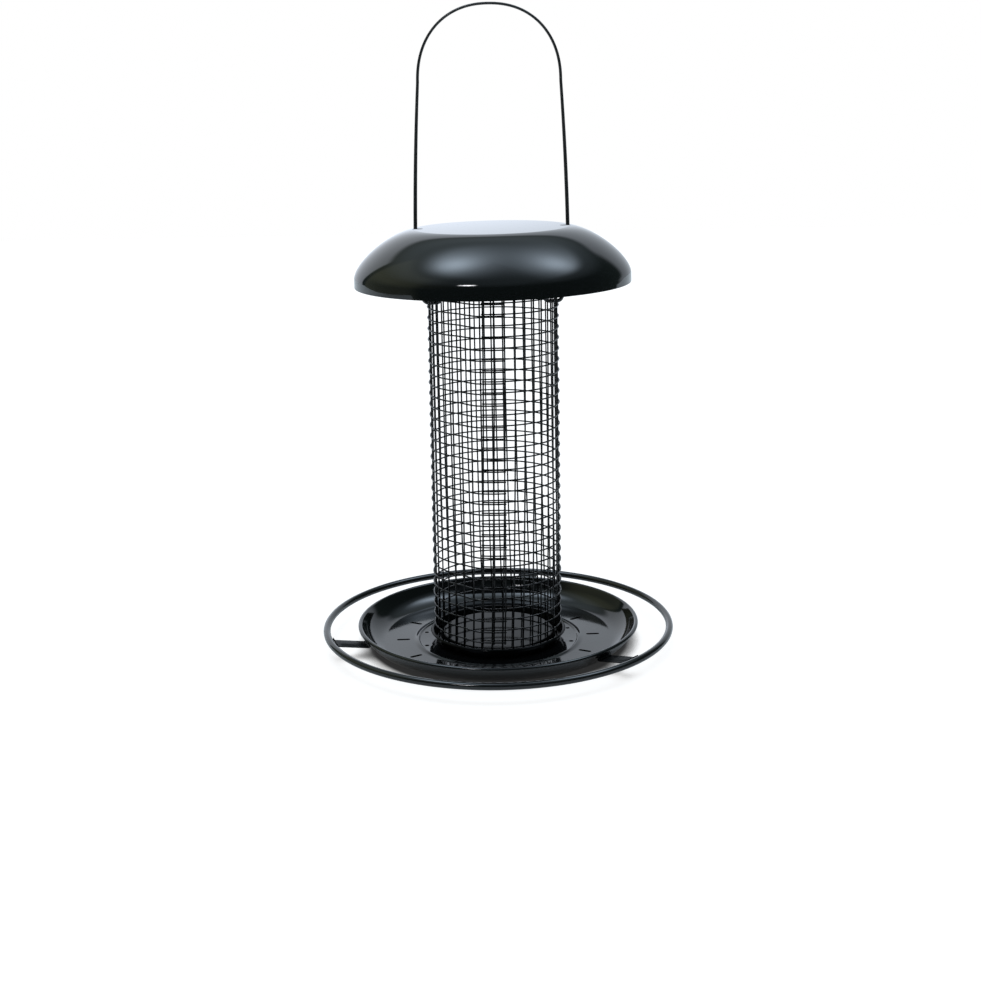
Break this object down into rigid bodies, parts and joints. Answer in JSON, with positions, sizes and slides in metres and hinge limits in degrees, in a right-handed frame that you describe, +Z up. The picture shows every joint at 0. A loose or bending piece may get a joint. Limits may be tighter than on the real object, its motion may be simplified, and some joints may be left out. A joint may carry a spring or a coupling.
{
  "type": "hanging peanut bird feeder",
  "caption": "Hanging peanut feeder: a wire-mesh tube with a domed sliding roof, a drained seed tray, a round wire perch and a wire bail.",
  "frame": {"origin": "centre of the base in plan, on the plane that the tray's base rests on", "axes": "+Z up along the mesh tube, +X towards the viewer's right through one leg of the bail, -Y towards the viewer and the mesh tube's lapped seam"},
  "size_m": [0.2092, 0.2092, 0.3737],
  "materials": {
    "roof_enamel": "gloss black",
    "tray_enamel": "gloss black",
    "perch_coat": "satin black",
    "bail_coat": "satin black",
    "mesh_coat": "satin black",
    "plated_steel": "zinc plated"
  },
  "bodies": {
    "feeder_body": {"mesh_upright_wires": "mesh_coat", "mesh_hoop_wires": "mesh_coat", "base_cup": "tray_enamel", "tray": "tray_enamel", "perch_ring": "perch_coat", "perch_bracket_left": "perch_coat", "perch_bracket_right": "perch_coat", "perch_bracket_rear": "perch_coat", "tray_screw": "plated_steel", "weld_nut": "plated_steel"},
    "bail": {"bail_handle": "bail_coat"},
    "roof_cap": {"roof": "roof_enamel"}
  },
  "joints": [
    {"name": "bail_swing", "type": "hinge", "parent": "feeder_body", "child": "bail", "pos_m": [0, 0, 0.20435], "axis": [1, 0, 0], "range_deg": [-1, 1]},
    {"name": "roof_lift", "type": "slide", "parent": "bail", "child": "roof_cap", "axis": [0, 0, 1], "range_m": [0, 0.075]}
  ]
}
